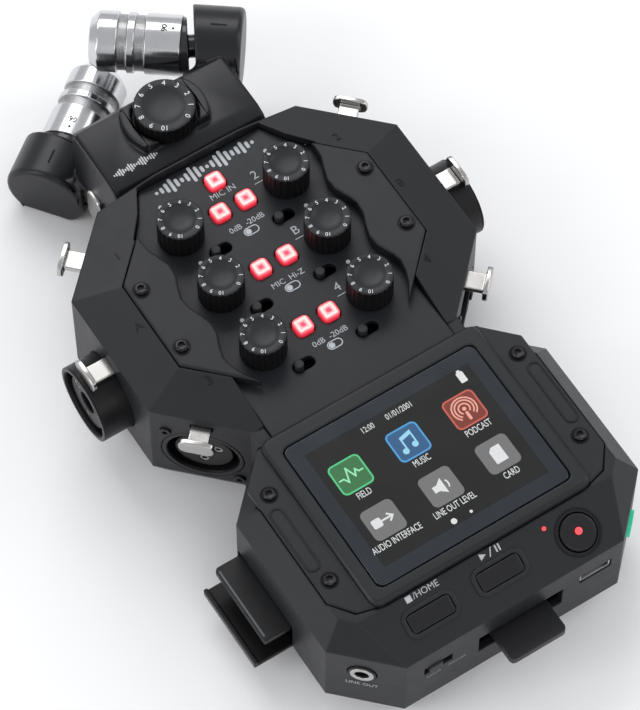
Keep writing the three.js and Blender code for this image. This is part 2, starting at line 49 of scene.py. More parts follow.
# ---------------------------------------------------------------- studio
# A pale seamless table with a large softbox overhead, a long strip on the
# left and a weak fill on the right; the camera stands at the user's left
# side, well above the recorder.
def softbox(name, place, aim, size, power):
    """A rectangular lamp at a place in metres, turned to its aim, in watts."""
    bpy.ops.object.light_add(type="AREA", location=place)
    lamp = bpy.context.object
    lamp.name = name
    lamp.data.shape = "RECTANGLE"
    lamp.data.size, lamp.data.size_y = size
    lamp.data.energy = power
    lamp.rotation_euler = (Vector(aim) - Vector(place)).to_track_quat("-Z", "Y").to_euler()


softbox("overhead", place=(0.15, 0.75, 0.85), aim=(0, 0.02, 0), size=(0.9, 0.5), power=5.0)
softbox("left_strip", place=(-0.85, 0.1, 0.45), aim=(0, 0.02, 0.02), size=(0.25, 0.9), power=2.6)
softbox("right_fill", place=(0.8, -0.3, 0.5), aim=(0, 0.02, 0.02), size=(0.5, 0.7), power=2.4)
softbox("front_fill", place=(-0.2, -0.8, 0.6), aim=(0, 0, 0.02), size=(0.8, 0.3), power=1.4)

world = bpy.data.worlds.new("studio")
bpy.context.scene.world = world
world.use_nodes = True
sky = world.node_tree.nodes["Background"]
sky.inputs["Color"].default_value = (0.97, 0.98, 1.0, 1)
sky.inputs["Strength"].default_value = 0.62

bpy.ops.object.select_all(action="DESELECT")
bpy.ops.mesh.primitive_plane_add(size=6, location=(0, 0, -0.0002))
table = bpy.context.object
table.name = "table"
paper = bpy.data.materials.new("table_paper")
paper.use_nodes = True
paper_shader = paper.node_tree.nodes["Principled BSDF"]
paper_shader.inputs["Base Color"].default_value = (0.93, 0.93, 0.94, 1)
paper_shader.inputs["Roughness"].default_value = 0.7
table.data.materials.append(paper)

CAMERA_PLACE = Vector((-0.2611, -0.3918, 0.8989))
CAMERA_AIM = Vector((0.0, 0.01628, 0.02409))
bpy.ops.object.camera_add(location=CAMERA_PLACE)
camera = bpy.context.object
camera.rotation_euler = (CAMERA_AIM - CAMERA_PLACE).to_track_quat("-Z", "Y").to_euler()
camera.data.sensor_fit = "VERTICAL"
camera.data.sensor_height = 36
camera.data.lens = 195.87
camera.data.clip_start = 0.05
bpy.context.scene.camera = camera
bpy.context.scene.view_settings.view_transform = "Standard"


# ---------------------------------------------------------------- housing
# Upper and lower half shells of the housing, injection moulded in charcoal
# plastic with a fine spark-eroded grain; every edge has a small radius and
# carries a painted highlight, a little lighter, broken into patches.
def alone(*pieces):
    """Selects only these pieces, in object mode, the first one active."""
    if bpy.context.mode != "OBJECT":
        bpy.ops.object.mode_set(mode="OBJECT")
    bpy.ops.object.select_all(action="DESELECT")
    for piece in pieces:
        piece.select_set(True)
    bpy.context.view_layer.objects.active = pieces[0]


def shader_node(tree, kind, options=None, **inputs):
    """A wired shader node: sockets by name, or by number after an underscore."""
    made = tree.nodes.new("ShaderNode" + kind)
    for key, value in (options or {}).items():
        setattr(made, key, value)
    for key, value in inputs.items():
        socket = made.inputs[int(key[1:]) if key[1:].isdigit() else key.replace("_", " ")]
        if isinstance(value, bpy.types.NodeSocket):
            tree.links.new(value, socket)
        else:
            socket.default_value = value
    return made


def moulded(name, colour, rough=0.5, grain=0.25, grain_mm=0.35, edge_highlight=0.5, gloss=0.3):
    """Grained plastic with a broad colour drift, painted highlights on its rounded edges and small smears."""
    finish = bpy.data.materials.new(name)
    finish.use_nodes = True
    tree = finish.node_tree
    shader = tree.nodes["Principled BSDF"]
    place = tree.nodes.new("ShaderNodeTexCoord").outputs["Object"]
    fine = shader_node(tree, "TexNoise", Vector=place, Scale=1 / (grain_mm * MM), Detail=3.0)
    broad = shader_node(tree, "TexNoise", Vector=place, Scale=45.0, Detail=4.0, Roughness=0.6)
    smear = shader_node(tree, "TexNoise", Vector=place, Scale=260.0, Detail=2.0)
    edge = shader_node(tree, "Bevel", {"samples": 4}, Radius=0.0007)
    facing = tree.nodes.new("ShaderNodeNewGeometry").outputs["Normal"]
    turn = shader_node(tree, "VectorMath", {"operation": "DOT_PRODUCT"}, _0=edge.outputs[0], _1=facing)
    # painted highlight: where the bevel normal turns away from the face normal, at rounded edges, the colour is
    # mixed towards a lighter one in noise patches
    painted_edge_highlight = shader_node(tree, "MapRange", Value=turn.outputs["Value"],
                       From_Min=0.995, From_Max=0.9, To_Min=0.0, To_Max=edge_highlight)
    patchy_edge_highlight = shader_node(tree, "Math", {"operation": "MULTIPLY"},
                         _0=painted_edge_highlight.outputs[0], _1=smear.outputs["Fac"])
    low = (*[c * 0.86 for c in colour], 1)
    high = (*[c * 1.14 for c in colour], 1)
    # the lighter colour of the painted edge highlight
    edge_highlight_colour = (*[min(1, c * 2.0 + 0.006) for c in colour], 1)
    tone = shader_node(tree, "Mix", {"data_type": "RGBA"}, _0=broad.outputs["Fac"], _6=low, _7=high)
    final = shader_node(tree, "Mix", {"data_type": "RGBA"}, _0=patchy_edge_highlight.outputs[0],
                        _6=tone.outputs[2], _7=edge_highlight_colour)
    tree.links.new(final.outputs[2], shader.inputs["Base Color"])
    sheen = shader_node(tree, "MapRange", Value=smear.outputs["Fac"],
                        To_Min=rough - 0.06, To_Max=rough + 0.06)
    tree.links.new(sheen.outputs[0], shader.inputs["Roughness"])
    bump = shader_node(tree, "Bump", Height=fine.outputs["Fac"], Strength=grain, Distance=0.00004,
                       Normal=edge.outputs[0])
    tree.links.new(bump.outputs[0], shader.inputs["Normal"])
    shader.inputs["Specular IOR Level"].default_value = gloss
    return finish


def dress(piece, name, body, slot, *finishes):
    """Names a finished piece, gives it its finish and hangs it on its body."""
    piece.name = name
    piece.data.materials.clear()
    for finish in finishes:
        piece.data.materials.append(finish)
    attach(piece, body)
    return piece


def radiused(node, width, steps=2, angle=32):
    """A merged copy of a CAD node, its sharp edges rounded by a width in mm, that replaces it."""
    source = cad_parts[node]
    piece = bpy.data.objects.new(node + "_radiused", source.data.copy())
    bpy.context.scene.collection.objects.link(piece)
    alone(piece)
    bpy.ops.object.mode_set(mode="EDIT")
    bpy.ops.mesh.select_all(action="SELECT")
    bpy.ops.mesh.remove_doubles(threshold=0.000002)
    bpy.ops.mesh.customdata_custom_splitnormals_clear()
    bpy.ops.mesh.dissolve_limited(angle_limit=math.radians(0.6))
    bpy.ops.object.mode_set(mode="OBJECT")
    bpy.ops.object.shade_smooth_by_angle(angle=math.radians(28))
    edge = piece.modifiers.new("edge", "BEVEL")
    edge.width = width * MM
    edge.segments = steps
    edge.limit_method = "ANGLE"
    edge.angle_limit = math.radians(angle)
    edge.use_clamp_overlap = False
    edge.harden_normals = True
    bpy.ops.object.modifier_apply(modifier="edge")
    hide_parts(node)
    return piece


def carried(node, finish):
    """A CAD node shown as it is, in a real finish."""
    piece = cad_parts[node]
    for place in piece.material_slots:
        place.link = "OBJECT"
        place.material = finish
    if not piece.material_slots:
        piece.data.materials.append(finish)
    return piece


SHELL_COLOUR = (0.0135, 0.0142, 0.0168)
shell_plastic = moulded("shell_plastic", SHELL_COLOUR, rough=0.44, grain=0.3)
carried("upper_shell", shell_plastic)
dress(radiused("lower_shell", 0.4), "lower_shell_moulding", "main_unit", "shell", shell_plastic)
dress(radiused("battery_door", 0.25), "battery_door_moulding", "battery_door", "shell", shell_plastic)


# ---------------------------------------------------------------- hidden insides
# Four AA cells in printed sleeves, a turned brass tripod nut pressed into
# the base, a small loudspeaker can and the main board in black solder mask.
def spun(name, colour, rough, metal, centre, axis="Z", ring_mm=0.08, depth=0.3):
    """Turned metal: faint tool rings about an axis through the centre."""
    finish = bpy.data.materials.new(name)
    finish.use_nodes = True
    tree = finish.node_tree
    shader = tree.nodes["Principled BSDF"]
    place = tree.nodes.new("ShaderNodeTexCoord").outputs["Object"]
    shift = shader_node(tree, "Mapping", {"vector_type": "POINT"}, Vector=place,
                        Location=tuple(-c for c in centre))
    rings = shader_node(tree, "TexWave", {"wave_type": "RINGS", "rings_direction": axis},
                        Vector=shift.outputs[0], Scale=0.3 / (ring_mm * MM), Distortion=2.0, Detail=2.0)
    cloud = shader_node(tree, "TexNoise", Vector=place, Scale=300.0, Detail=3.0)
    tone = shader_node(tree, "Mix", {"data_type": "RGBA"}, _0=cloud.outputs["Fac"],
                       _6=(*[c * 0.85 for c in colour], 1), _7=(*[min(1, c * 1.12) for c in colour], 1))
    tree.links.new(tone.outputs[2], shader.inputs["Base Color"])
    spread = shader_node(tree, "MapRange", Value=cloud.outputs["Fac"],
                         To_Min=max(0.02, rough - 0.07), To_Max=rough + 0.07)
    tree.links.new(spread.outputs[0], shader.inputs["Roughness"])
    bump = shader_node(tree, "Bump", Height=rings.outputs["Fac"], Strength=depth, Distance=0.00001)
    tree.links.new(bump.outputs[0], shader.inputs["Normal"])
    shader.inputs["Metallic"].default_value = metal
    return finish


cell_sleeve = moulded("cell_sleeve", (0.02, 0.022, 0.026), rough=0.28, grain=0.05, edge_highlight=0.9)
for cell in (1, 2, 3, 4):
    carried(f"battery_cell_{cell}", cell_sleeve)
carried("tripod_nut", spun("turned_brass", (0.60, 0.42, 0.16), 0.3, 1.0, (0, 0.024, 0)))
carried("speaker", spun("speaker_can", (0.45, 0.46, 0.47), 0.4, 1.0, (0, 0.052, 0)))
carried("main_board", moulded("solder_mask", (0.004, 0.006, 0.005), rough=0.35, grain=0.5, grain_mm=1.2))


# ---------------------------------------------------------------- control panel
# Separate satin inlay that carries the six gain knobs; its legends are pad
# printed in pale grey ink, a few hundredths of a millimetre thick.
PANEL_TOP = 39.8
panel_plastic = moulded("panel_plastic", (0.0125, 0.0135, 0.0165), rough=0.40, grain=0.2)
carried("control_panel", panel_plastic)


def printed(name, colour, glow=0.0):
    """Printed ink: slightly broken colour, soft gloss, faint screen texture."""
    ink = moulded(name, colour, rough=0.55, grain=0.3, grain_mm=0.12, edge_highlight=0.0)
    shader = ink.node_tree.nodes["Principled BSDF"]
    if glow:
        shader.inputs["Emission Color"].default_value = (*colour, 1)
        shader.inputs["Emission Strength"].default_value = glow
    return ink


def lettering(words, size, thick=0.04, squeeze=1.0):
    """A word cut as a thin plate, centred on the origin, read from above."""
    bpy.ops.object.select_all(action="DESELECT")
    bpy.ops.object.text_add(location=(0, 0, 0))
    word = bpy.context.object
    word.data.body = words
    word.data.size = size * MM
    word.data.align_x = "CENTER"
    word.data.align_y = "CENTER"
    word.data.extrude = thick * MM / 2
    word.data.resolution_u = 3
    bpy.ops.object.convert(target="MESH")
    word = bpy.context.object
    word.data.transform(Matrix.Diagonal((squeeze, 1, 1, 1)))
    return word


def plate(outlines, thick=0.04, rim=0.0):
    """A thin plate cut to closed outlines given in millimetres."""
    bpy.ops.object.select_all(action="DESELECT")
    shape = bpy.data.curves.new("plate", "CURVE")
    shape.dimensions = "2D"
    shape.fill_mode = "BOTH"
    for outline in outlines:
        spline = shape.splines.new("POLY")
        spline.points.add(len(outline) - 1)
        for point, (x, y) in zip(spline.points, outline):
            point.co = (x * MM, y * MM, 0, 1)
        spline.use_cyclic_u = True
    shape.extrude = thick * MM / 2
    shape.bevel_depth = rim * MM
    shape.bevel_resolution = 1
    cut = bpy.data.objects.new("plate", shape)
    bpy.context.scene.collection.objects.link(cut)
    alone(cut)
    bpy.ops.object.convert(target="MESH")
    return bpy.context.object


def soft_box(width, height, radius, cx=0.0, cy=0.0, steps=5):
    """Outline of a rectangle with round corners."""
    corners = ((1, 1, 0), (-1, 1, 90), (-1, -1, 180), (1, -1, 270))
    return [(cx + sx * (width / 2 - radius) + radius * math.cos(math.radians(start + 90 * i / steps)),
             cy + sy * (height / 2 - radius) + radius * math.sin(math.radians(start + 90 * i / steps)))
            for sx, sy, start in corners for i in range(steps + 1)]


def ring(radius, cx=0.0, cy=0.0, sides=28):
    return soft_box(2 * radius, 2 * radius, radius, cx, cy, sides // 4)


def put(piece, x, y, z, turn=0.0, tilt=None):
    """Moves a flat piece's mesh to its place in millimetres, turned about Z first."""
    lean = tilt or Matrix.Identity(4)
    piece.data.transform(Matrix.Translation(Vector((x, y, z)) * MM) @ lean
                         @ Matrix.Rotation(math.radians(turn), 4, "Z"))
    return piece


def joined(pieces):
    alone(*pieces)
    bpy.ops.object.join()
    return bpy.context.object


ROWS = {"2": 57.8, "b": 37.95, "4": 17.85}
KNOB_X = 16.1
ink_height = PANEL_TOP + 0.03
SWITCH_WORDS = {"2": "0dB  -20dB", "b": "MIC  Hi-Z", "4": "0dB  -20dB"}
marks = [put(lettering("MIC IN", 2.5), 0.1, 63.3, ink_height)]
for label, row in ROWS.items():
    switch_track = plate([soft_box(4.4, 2.5, 1.25), soft_box(3.8, 1.9, 0.95)])
    marks += [put(lettering(label.upper(), 3.7), 9.8, row + 5.5, ink_height),
              put(lettering(SWITCH_WORDS[label], 2.3), 0.4, row - 5.7, ink_height),
              put(switch_track, 0.3, row - 8.2, ink_height),
              put(plate([ring(0.85)]), -0.6, row - 8.2, ink_height)]
    for side in (-1, 1):
        marks.append(put(plate([ring(0.58)]), side * KNOB_X + 0.1, row + 10.35, ink_height))
    marks.append(put(plate([soft_box(2.6, 0.22, 0.1)]), 9.6, row + 3.1, ink_height))
# a generic sound-level pictogram stands where a maker would print a badge
LEVELS = (1.6, 3.0, 5.0, 7.2, 4.2, 2.4, 4.4, 8.0, 5.8, 3.2,
          1.8, 3.8, 6.6, 8.4, 5.2, 3.0, 4.2, 6.2, 3.6, 1.8)
BADGE_LEFT, BADGE_Y, BADGE_STEP = -14.6, 72.3, 1.54
for i, level in enumerate(LEVELS):
    level_bar = plate([soft_box(0.95, level * 0.62, 0.47)])
    marks.append(put(level_bar, BADGE_LEFT + i * BADGE_STEP, BADGE_Y, ink_height))
dress(joined(marks), "panel_legends", "main_unit", "panel", printed("pale_ink", (0.50, 0.53, 0.56)))


# ---------------------------------------------------------------- knob guards
# Two raised side guards with a scooped wavy inner wall, moulded separately
# and each held down by two blackened hexagon-socket screws.
guard_plastic = moulded("guard_plastic", (0.0130, 0.0137, 0.0162), rough=0.42, grain=0.3)
for side in ("left", "right"):
    dress(radiused(f"{side}_knob_guard", 0.55, steps=3), f"{side}_guard_moulding", "main_unit",
          "shell", guard_plastic)


def wall_frame(outward, up=(0, 0, 1)):
    """Axes of a flat piece that lies on a wall: its Z looks outward, its Y along up."""
    z = Vector(outward).normalized()
    y = (Vector(up) - z * Vector(up).dot(z)).normalized()
    x = y.cross(z)
    return Matrix((x, y, z)).transposed().to_4x4()


def select_faces(piece, wanted):
    """Edit mode with only the faces selected whose centre and normal pass the test."""
    alone(piece)
    bpy.ops.object.mode_set(mode="EDIT")
    bpy.ops.mesh.select_mode(type="FACE")
    bpy.ops.mesh.select_all(action="DESELECT")
    mesh = bmesh.from_edit_mesh(piece.data)
    for face in mesh.faces:
        face.select_set(bool(wanted(face.calc_center_median(), face.normal)))
    bmesh.update_edit_mesh(piece.data)


def cylinder(radius, height, sides=32):
    """A plain turning blank standing on the origin."""
    bpy.ops.object.select_all(action="DESELECT")
    bpy.ops.mesh.primitive_cylinder_add(vertices=sides, radius=radius * MM, depth=height * MM,
                                        location=(0, 0, height * MM / 2))
    bpy.ops.object.transform_apply(location=True, rotation=False, scale=False)
    return bpy.context.object


def finish_edges(piece, width, steps=2, angle=35):
    """Rounds the sharp edges of a modelled piece by a width in mm and shades it."""
    alone(piece)
    bpy.ops.object.mode_set(mode="OBJECT")
    edge = piece.modifiers.new("edge", "BEVEL")
    edge.width = width * MM
    edge.segments = steps
    edge.limit_method = "ANGLE"
    edge.angle_limit = math.radians(angle)
    bpy.ops.object.modifier_apply(modifier="edge")
    bpy.ops.object.shade_smooth_by_angle(angle=math.radians(30))
    return piece


def socket_screw(radius=1.75, height=1.2, hexagon=0.95):
    """Pan head with a hexagon socket, standing on the origin."""
    screw = cylinder(radius, height, 36)
    select_faces(screw, lambda c, n: n.z > 0.9)
    bpy.ops.mesh.inset(thickness=(radius * 0.18) * MM)
    bpy.ops.transform.translate(value=(0, 0, 0.18 * MM))
    bpy.ops.mesh.inset(thickness=(radius * 0.82 - hexagon) * MM)
    bpy.ops.mesh.extrude_region_move(TRANSFORM_OT_translate={"value": (0, 0, -0.75 * MM)})
    bpy.ops.object.mode_set(mode="OBJECT")
    for vert in screw.data.vertices:
        reach = math.hypot(vert.co.x, vert.co.y)
        if reach < (hexagon + 0.05) * MM:
            turn = math.atan2(vert.co.y, vert.co.x) % math.radians(60) - math.radians(30)
            flat = hexagon * 0.866 / math.cos(turn)
            vert.co.x *= flat * MM / reach
            vert.co.y *= flat * MM / reach
    return finish_edges(screw, 0.08)


black_steel = spun("blackened_steel", (0.03, 0.03, 0.032), 0.28, 0.9, (0.034, 0.048, 0))
screw_recess_shade = moulded("screw_recess_shade", (0.006, 0.006, 0.007), rough=0.5)
GUARD_TOP = 43.4
GUARD_SCREWS = [(side * 34.05, y) for side in (-1, 1) for y in (47.8, 28.1)]
for number, (x, y) in enumerate(GUARD_SCREWS, 1):
    dress(put(socket_screw(), x, y, GUARD_TOP - 0.25, 15 * number), f"guard_screw_{number}", "main_unit",
          "steel", black_steel)
    # painted shade: a thin black ring round each screw head stands for the shade in the gap round it
    guard_ring_shade = put(plate([ring(2.35), ring(1.95)], 0.12, 0.04), x, y, GUARD_TOP + 0.02)
    dress(guard_ring_shade, f"guard_screw_shade_ring_{number}", "main_unit", "dark_plastic", screw_recess_shade)


# ---------------------------------------------------------------- gain knobs
# Six rubbery-feeling moulded knobs: finely ribbed skirt, flat numbered rim
# and a dished satin top, each pushed on its own potentiometer shaft.
def ribbed_knob(radius, height, rim_inner, dish, ribs):
    """A knob blank: skirt with sunk ribs, flat rim, dished top inside rim_inner."""
    knob = cylinder(radius, height, ribs * 4)
    step = math.tau / ribs
    select_faces(knob, lambda c, n: n.z > 0.9)
    bpy.ops.mesh.inset(thickness=(radius - rim_inner) * MM)
    for width, drop in ((0.06, 0.16), (0.10, 0.30), (0.16, 0.26), (0.20, 0.18), (0.20, 0.10)):
        bpy.ops.mesh.inset(thickness=rim_inner * width * MM)
        bpy.ops.transform.translate(value=(0, 0, -dish * drop * MM))
    bpy.ops.object.mode_set(mode="OBJECT")
    select_faces(knob, lambda c, n: abs(n.z) < 0.1
                 and (math.atan2(c.y, c.x) % step) < step * 0.5)
    bpy.ops.mesh.inset(thickness=0.00002, depth=-0.00016)
    bpy.ops.object.mode_set(mode="OBJECT")
    return finish_edges(knob, 0.28, 3, 50)


def dial_numbers(radius, size):
    """Printed numbers 0 to 10 on a circle, 30 degrees apart, read from outside."""
    digits = []
    for number in range(11):
        angle = -60 + 30 * number
        x, y = radius * math.cos(math.radians(angle)), radius * math.sin(math.radians(angle))
        digits.append(put(lettering(str(number), size), x, y, 0, angle - 90))
    return joined(digits)


def knob_finish(name, cx, cy, rim_inner):
    """Satin black moulding with painted light: upward faces such as the numbered rim painted lighter than the
    skirt, and the dish painted lighter still as its highlight.
    """
    finish = moulded(name, (0.0048, 0.0048, 0.0055), rough=0.40, grain=0.3, edge_highlight=0.6)
    tree = finish.node_tree
    shader = tree.nodes["Principled BSDF"]
    base = shader.inputs["Base Color"].links[0].from_socket
    place = tree.nodes.new("ShaderNodeTexCoord").outputs["Object"]
    shift = shader_node(tree, "Mapping", Vector=place, Location=(-cx * MM, -cy * MM, 0), Scale=(1, 1, 0))
    reach = shader_node(tree, "VectorMath", {"operation": "LENGTH"}, _0=shift.outputs[0])
    # painted highlight: the dish inside the rim is painted a lighter colour
    dish_highlight_mask = shader_node(tree, "MapRange", Value=reach.outputs["Value"],
                         From_Min=(rim_inner + 0.15) * MM, From_Max=(rim_inner - 0.35) * MM)
    tone = shader_node(tree, "Mix", {"data_type": "RGBA"}, _0=dish_highlight_mask.outputs[0],
                       _6=base, _7=(0.0185, 0.0195, 0.0225, 1))
    # painted light: faces that look up are painted lighter than the sides of the skirt
    top = shader_node(tree, "SeparateXYZ", Vector=tree.nodes.new("ShaderNodeNewGeometry").outputs["Normal"])
    lit_top_mask = shader_node(tree, "MapRange", Value=top.outputs["Z"], From_Min=0.85, From_Max=0.97)
    rim = shader_node(tree, "Mix", {"data_type": "RGBA"}, _0=lit_top_mask.outputs[0],
                      _6=base, _7=(0.0125, 0.0132, 0.0152, 1))
    tree.links.new(rim.outputs[2], tone.inputs[6])
    tree.links.new(tone.outputs[2], shader.inputs["Base Color"])
    return finish


white_ink = printed("white_ink", (0.8, 0.82, 0.84))
KNOB_FOOT, KNOB_TOP = 40.1, 48.6
KNOB_R, KNOB_RIM = 6.15, 4.25
KNOB_CENTRES = {"1": (-1, 57.8), "2": (1, 57.8), "a": (-1, 37.95),
                "b": (1, 37.95), "3": (-1, 17.85), "4": (1, 17.85)}
for channel, (side, y) in KNOB_CENTRES.items():
    x = side * KNOB_X
    knob = put(ribbed_knob(KNOB_R, KNOB_TOP - KNOB_FOOT, KNOB_RIM, 0.9, 24), x, y, KNOB_FOOT)
    dress(knob, f"knob_cap_{channel}", f"gain_knob_{channel}", "knob_plastic",
          knob_finish(f"knob_plastic_{channel}", x, y, KNOB_RIM))
    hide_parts(f"gain_knob_{channel}")
    dress(put(dial_numbers(5.05, 1.55), x, y, KNOB_TOP + 0.01), f"knob_numbers_{channel}",
          f"gain_knob_{channel}", "knob_plastic", white_ink)


# ---------------------------------------------------------------- track keys
# Seven translucent silicone keys lit from below by a red lamp: bright pale
# body, deeper red round the skirt and a red spot in the middle.
def lit_key(name, cx, cy):
    """Silicone lit from inside; square colour zones about the key's centre in mm."""
    glow = bpy.data.materials.new(name)
    glow.use_nodes = True
    tree = glow.node_tree
    shader = tree.nodes["Principled BSDF"]
    place = tree.nodes.new("ShaderNodeTexCoord").outputs["Object"]
    shift = shader_node(tree, "Mapping", Vector=place, Location=(-cx * MM, -cy * MM, 0))
    axes = shader_node(tree, "SeparateXYZ", Vector=shift.outputs[0])
    dx = shader_node(tree, "Math", {"operation": "ABSOLUTE"}, _0=axes.outputs["X"])
    dy = shader_node(tree, "Math", {"operation": "ABSOLUTE"}, _0=axes.outputs["Y"])
    square = shader_node(tree, "Math", {"operation": "SMOOTH_MAX"},
                         _0=dx.outputs[0], _1=dy.outputs[0], _2=0.0006)
    flicker = shader_node(tree, "TexNoise", Vector=place, Scale=1100.0, Detail=2.0)
    nudge = shader_node(tree, "MapRange", Value=flicker.outputs["Fac"], To_Min=-0.00018, To_Max=0.00018)
    spread = shader_node(tree, "Math", {"operation": "ADD"}, _0=square.outputs[0], _1=nudge.outputs[0])
    share = shader_node(tree, "MapRange", Value=spread.outputs[0], From_Min=0.0, From_Max=0.0027)
    tones = shader_node(tree, "ValToRGB", Fac=share.outputs[0])
    stops = ((0.0, (0.85, 0.03, 0.07)), (0.19, (0.88, 0.04, 0.09)), (0.30, (1.0, 0.26, 0.28)),
             (0.57, (1.0, 0.56, 0.52)), (0.76, (1.0, 0.11, 0.14)), (1.0, (0.80, 0.02, 0.05)))
    ramp = tones.color_ramp
    while len(ramp.elements) < len(stops):
        ramp.elements.new(0.5)
    for stop, (at, colour) in zip(ramp.elements, stops):
        stop.position = at
        stop.color = (*colour, 1)
    low = shader_node(tree, "MapRange", Value=axes.outputs["Z"], From_Min=0.0396, From_Max=0.0411)
    skirt = shader_node(tree, "Mix", {"data_type": "RGBA"}, _0=low.outputs[0],
                        _6=(0.55, 0.02, 0.035, 1), _7=tones.outputs[0])
    tree.links.new(skirt.outputs[2], shader.inputs["Base Color"])
    tree.links.new(skirt.outputs[2], shader.inputs["Emission Color"])
    shader.inputs["Emission Strength"].default_value = 0.75
    shader.inputs["Roughness"].default_value = 0.4
    bump = shader_node(tree, "Bump", Height=flicker.outputs["Fac"], Strength=0.15, Distance=0.00003)
    tree.links.new(bump.outputs[0], shader.inputs["Normal"])
    return glow


KEY_CENTRES = {"1": (-3.9, 58.2), "2": (3.9, 58.2), "a": (-3.9, 38.35), "b": (3.9, 38.35),
               "3": (-3.9, 18.25), "4": (3.9, 18.25), "mic": (0, 67.1)}
for channel, (x, y) in KEY_CENTRES.items():
    dress(radiused(f"track_key_{channel}", 0.5, steps=3), f"key_cap_{channel}", f"track_key_{channel}",
          "lit_key", lit_key(f"lit_silicone_{channel}", x, y))


# ---------------------------------------------------------------- pad switches
# Small black slide switches sunk in oval slots, one beside each gain knob.
peg_plastic = moulded("peg_plastic", (0.022, 0.023, 0.025), rough=0.5, grain=0.3)
for channel in KNOB_CENTRES:
    dress(radiused(f"pad_switch_{channel}", 0.22), f"switch_peg_{channel}", f"pad_switch_{channel}",
          "dark_plastic", peg_plastic)


# ---------------------------------------------------------------- display
# Moulded frame with side wings round a touch screen; the cover glass has a
# blue-black printed border and the lit picture shows a plain start menu.
dress(radiused("display_frame", 0.4, steps=3), "display_frame_moulding", "main_unit", "shell",
      moulded("frame_plastic", (0.0125, 0.0133, 0.0160), rough=0.41, grain=0.25))
WING_TOP = 41.4
FRAME_SCREWS = ((-37.3, -18.5), (37.3, -18.5), (-37.3, -46.4), (37.3, -46.4))
slot_black = moulded("slot_black", (0.003, 0.003, 0.0035), rough=0.7, grain=0.3)
for number, (x, y) in enumerate(FRAME_SCREWS, 1):
    dress(put(socket_screw(1.7, 1.0, 0.9), x, y, WING_TOP - 0.25, 20 * number), f"frame_screw_{number}",
          "main_unit", "steel", black_steel)
    # painted shade: a thin black ring round each screw head stands for the shade in the gap round it
    frame_ring_shade = put(plate([ring(2.3), ring(1.85)], 0.12, 0.04), x, y, WING_TOP + 0.05)
    dress(frame_ring_shade, f"frame_screw_shade_ring_{number}", "main_unit", "dark_plastic", slot_black)

GLASS_CENTRE = (0.0, -33.0)
GLASS_TOP = 43.1
PICTURE = (48.96, 36.72)


def cover_glass():
    """Polished glass, blue-black border ink, dark picture area."""
    glass = bpy.data.materials.new("cover_glass")
    glass.use_nodes = True
    tree = glass.node_tree
    shader = tree.nodes["Principled BSDF"]
    place = tree.nodes.new("ShaderNodeTexCoord").outputs["Object"]
    shift = shader_node(tree, "Mapping", Vector=place,
                        Location=(-GLASS_CENTRE[0] * MM, -GLASS_CENTRE[1] * MM, 0))
    axes = shader_node(tree, "SeparateXYZ", Vector=shift.outputs[0])
    dx = shader_node(tree, "Math", {"operation": "ABSOLUTE"}, _0=axes.outputs["X"])
    dy = shader_node(tree, "Math", {"operation": "ABSOLUTE"}, _0=axes.outputs["Y"])
    past_x, past_y = (shader_node(tree, "Math", {"operation": "SUBTRACT"}, _0=away.outputs[0], _1=half * MM)
                      for away, half in ((dx, PICTURE[0] / 2), (dy, PICTURE[1] / 2)))
    past = shader_node(tree, "Math", {"operation": "MAXIMUM"}, _0=past_x.outputs[0], _1=past_y.outputs[0])
    border = shader_node(tree, "Math", {"operation": "GREATER_THAN"}, _0=past.outputs[0], _1=0.0)
    dust = shader_node(tree, "TexNoise", Vector=place, Scale=90.0, Detail=5.0)
    ink = shader_node(tree, "Mix", {"data_type": "RGBA"}, _0=dust.outputs["Fac"],
                      _6=(0.0125, 0.0165, 0.0230, 1), _7=(0.0165, 0.0210, 0.0285, 1))
    tone = shader_node(tree, "Mix", {"data_type": "RGBA"}, _0=border.outputs[0],
                       _6=(0.0065, 0.0065, 0.0066, 1), _7=ink.outputs[2])
    tree.links.new(tone.outputs[2], shader.inputs["Base Color"])
    smear = shader_node(tree, "MapRange", Value=dust.outputs["Fac"], To_Min=0.08, To_Max=0.2)
    tree.links.new(smear.outputs[0], shader.inputs["Roughness"])
    wave = shader_node(tree, "Bump", Height=dust.outputs["Fac"], Strength=0.03, Distance=0.00002)
    tree.links.new(wave.outputs[0], shader.inputs["Normal"])
    return glass


dress(radiused("touch_glass", 0.25), "cover_glass", "main_unit", "screen", cover_glass())


def lamp_ink(name, colour, glow):
    """Lit picture element: an even glow broken by the fine grid of the display."""
    lit = bpy.data.materials.new(name)
    lit.use_nodes = True
    tree = lit.node_tree
    shader = tree.nodes["Principled BSDF"]
    place = tree.nodes.new("ShaderNodeTexCoord").outputs["Object"]
    grid = shader_node(tree, "TexNoise", Vector=place, Scale=2500.0, Detail=1.0)
    tone = shader_node(tree, "Mix", {"data_type": "RGBA"}, _0=grid.outputs["Fac"],
                       _6=(*[c * 0.85 for c in colour], 1), _7=(*[min(1, c * 1.15) for c in colour], 1))
    tree.links.new(tone.outputs[2], shader.inputs["Emission Color"])
    shader.inputs["Base Color"].default_value = (0.004, 0.004, 0.004, 1)
    shader.inputs["Emission Strength"].default_value = glow
    shader.inputs["Roughness"].default_value = 0.2
    return lit


picture_z = GLASS_TOP + 0.02
LEFT, TOP = GLASS_CENTRE[0] - PICTURE[0] / 2, GLASS_CENTRE[1] + PICTURE[1] / 2


def shown(piece, across, down, lift=0.0):
    """Places a picture element by its distance from the picture's top left corner."""
    return put(piece, LEFT + across, TOP - down, picture_z + lift)


def bar(x0, y0, x1, y1, width):
    """Outline of a straight stroke between two points."""
    run = Vector((x1 - x0, y1 - y0)).normalized() * width / 2
    side = Vector((-run.y, run.x))
    a, b = Vector((x0, y0)) - run, Vector((x1, y1)) + run
    return [tuple(a + side), tuple(a - side), tuple(b - side), tuple(b + side)]


